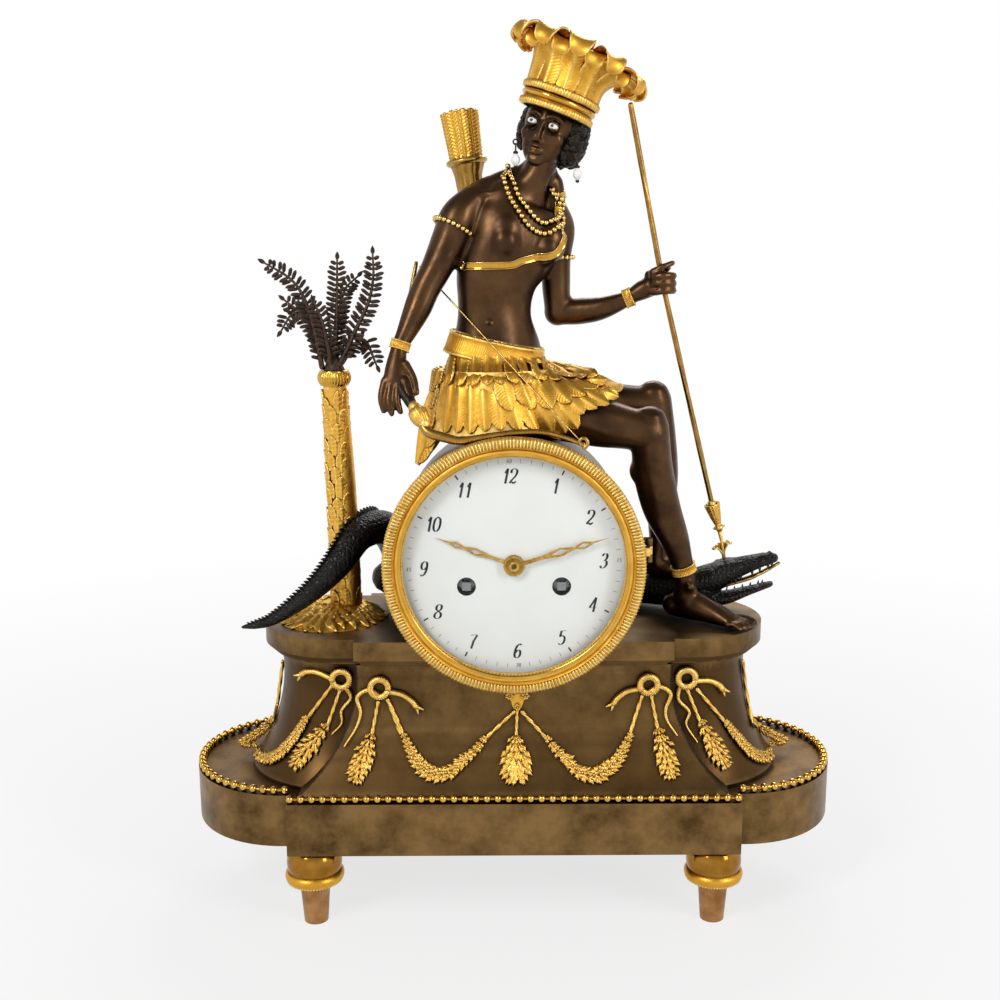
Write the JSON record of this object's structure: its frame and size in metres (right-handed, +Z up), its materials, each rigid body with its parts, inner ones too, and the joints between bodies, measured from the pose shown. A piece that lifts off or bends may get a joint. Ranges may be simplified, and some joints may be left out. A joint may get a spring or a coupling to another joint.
{
  "type": "figural mantel clock",
  "caption": "Mantel clock in gilt and patinated bronze: a seated huntress with bow and spear on a round dial, beside a palm and a crocodile, on a round-ended plinth.",
  "frame": {"origin": "middle of the footprint on the table", "axes": "+Z up; the dial faces -Y; +X to the viewer's right, towards the crocodile's head"},
  "size_m": [0.3472, 0.1294, 0.4561],
  "materials": {
    "patinated_bronze": "brown patina, rubbed to gold on its edges",
    "sheet_bronze": "dull brown gilt sheet",
    "dark_bronze": "near-black patina",
    "matte_gilt": "matte fire gilding",
    "burnished_gilt": "burnished gilding",
    "worn_gilt": "worn coppery gilding",
    "enamel": "white enamel",
    "clear_glass": "polished",
    "movement_brass": "lacquered brass",
    "steel": "polished steel",
    "gilt_steel": "gilt, pierced"
  },
  "bodies": {
    "case": {"foot_front_left": "worn_gilt", "foot_front_right": "worn_gilt", "foot_rear_left": "worn_gilt", "foot_rear_right": "worn_gilt", "tie_rods_and_nuts": "steel", "plinth": "sheet_bronze", "bead_rows": "matte_gilt", "socle_body": "sheet_bronze", "top_slab": "sheet_bronze", "centre_mount": "matte_gilt", "garlands": "matte_gilt", "serpent_mounts": "matte_gilt", "palm_trunk": "matte_gilt", "palm_collar": "burnished_gilt", "palm_fronds": "dark_bronze", "ground_mound": "matte_gilt", "crocodile": "dark_bronze", "torso": "patinated_bronze", "head": "patinated_bronze", "headdress": "matte_gilt", "enamel_eyes": "enamel", "right_arm": "patinated_bronze", "left_arm": "patinated_bronze", "right_leg": "patinated_bronze", "left_leg": "patinated_bronze", "necklaces": "burnished_gilt", "chest_strap": "burnished_gilt", "belt": "matte_gilt", "feather_skirt": "matte_gilt", "limb_rings": "burnished_gilt", "quiver": "sheet_bronze", "bow": "burnished_gilt", "bow_string": "burnished_gilt", "spear": "burnished_gilt", "drum_case": "sheet_bronze", "hinge_pins": "steel", "dial": "enamel", "front_plate": "movement_brass", "back_plate": "movement_brass", "bell": "movement_brass"},
    "bezel_frame": {"bezel": "matte_gilt", "dial_glass": "clear_glass"},
    "back_door": {"rear_door": "movement_brass"},
    "minute_work": {"minute_hand": "gilt_steel", "cannon_pinion": "steel"},
    "hour_work": {"hour_hand": "gilt_steel", "hour_wheel": "movement_brass"},
    "minute_gear": {"minute_wheel": "movement_brass"},
    "escape": {"escape_wheel": "movement_brass"},
    "third": {"third_wheel": "movement_brass"},
    "centre": {"centre_wheel": "movement_brass"},
    "going": {"going_barrel": "movement_brass"},
    "going_arbor": {"going_winding_arbor": "steel"},
    "strike": {"strike_barrel": "movement_brass"},
    "strike_arbor": {"strike_winding_arbor": "steel"},
    "pallet_arbor": {"pallets": "steel"},
    "pendulum_swing": {"pendulum": "movement_brass"},
    "strike_hammer": {"hammer": "steel"},
    "left_earring": {"earring_left": "enamel"},
    "right_earring": {"earring_right": "enamel"}
  },
  "joints": [
    {"name": "bezel_hinge", "type": "hinge", "parent": "case", "child": "bezel_frame", "pos_m": [0.0664, -0.0588, 0.204], "axis": [0, 0, 1], "range_deg": [0, 100]},
    {"name": "rear_door_hinge", "type": "hinge", "parent": "case", "child": "back_door", "pos_m": [-0.0346, 0.0182, 0.206], "axis": [0, 0, 1], "range_deg": [0, 100]},
    {"name": "minute_hand_turn", "type": "hinge", "parent": "case", "child": "minute_work", "pos_m": [0, -0.055, 0.196], "axis": [0, 1, 0], "continuous": true},
    {"name": "hour_hand_turn", "type": "hinge", "parent": "case", "child": "hour_work", "pos_m": [0, -0.055, 0.196], "axis": [0, 1, 0], "continuous": true},
    {"name": "minute_wheel_turn", "type": "hinge", "parent": "case", "child": "minute_gear", "pos_m": [0, -0.052, 0.184], "axis": [0, 1, 0], "continuous": true},
    {"name": "escape_wheel_turn", "type": "hinge", "parent": "case", "child": "escape", "pos_m": [0, -0.03, 0.22858], "axis": [0, 1, 0], "continuous": true},
    {"name": "third_wheel_turn", "type": "hinge", "parent": "case", "child": "third", "pos_m": [-0.0095, -0.03, 0.21473], "axis": [0, 1, 0], "continuous": true},
    {"name": "centre_wheel_turn", "type": "hinge", "parent": "case", "child": "centre", "pos_m": [0, -0.03, 0.196], "axis": [0, 1, 0], "continuous": true},
    {"name": "going_barrel_turn", "type": "hinge", "parent": "case", "child": "going", "pos_m": [-0.0236, -0.03, 0.18485], "axis": [0, 1, 0], "continuous": true},
    {"name": "going_winding", "type": "hinge", "parent": "case", "child": "going_arbor", "pos_m": [-0.0236, -0.03, 0.18485], "axis": [0, 1, 0], "continuous": true},
    {"name": "strike_barrel_turn", "type": "hinge", "parent": "case", "child": "strike", "pos_m": [0.0236, -0.03, 0.18485], "axis": [0, 1, 0], "continuous": true},
    {"name": "strike_winding", "type": "hinge", "parent": "case", "child": "strike_arbor", "pos_m": [0.0236, -0.03, 0.18485], "axis": [0, 1, 0], "continuous": true},
    {"name": "pendulum_swing_joint", "type": "hinge", "parent": "case", "child": "pendulum_swing", "pos_m": [0, -0.0042, 0.23898], "axis": [0, 1, 0], "range_deg": [-4, 4]},
    {"name": "pallet_rock", "type": "hinge", "parent": "case", "child": "pallet_arbor", "pos_m": [0, -0.03, 0.23898], "axis": [0, 1, 0], "range_deg": [-4, 4]},
    {"name": "hammer_lift", "type": "hinge", "parent": "case", "child": "strike_hammer", "pos_m": [-0.024, -0.0066, 0.174], "axis": [0, 1, 0], "range_deg": [-12, 0], "stiffness_Nm_per_rad": 0.02},
    {"name": "earring_left_swing", "type": "hinge", "parent": "case", "child": "left_earring", "pos_m": [0.0012, -0.012, 0.4], "axis": [0, 1, 0], "range_deg": [-8, 8]},
    {"name": "earring_right_swing", "type": "hinge", "parent": "case", "child": "right_earring", "pos_m": [0.0316, -0.0184, 0.3928], "axis": [0, 1, 0], "range_deg": [-8, 8]}
  ],
  "couplings": [
    {"joint": "hour_hand_turn", "follows": "minute_hand_turn", "ratio": 0.083333},
    {"joint": "minute_wheel_turn", "follows": "minute_hand_turn", "ratio": -0.33333},
    {"joint": "third_wheel_turn", "follows": "escape_wheel_turn", "ratio": -0.076923},
    {"joint": "centre_wheel_turn", "follows": "escape_wheel_turn", "ratio": 0.0059172},
    {"joint": "going_barrel_turn", "follows": "escape_wheel_turn", "ratio": -0.00094675},
    {"joint": "pallet_rock", "follows": "pendulum_swing_joint", "ratio": 1}
  ]
}
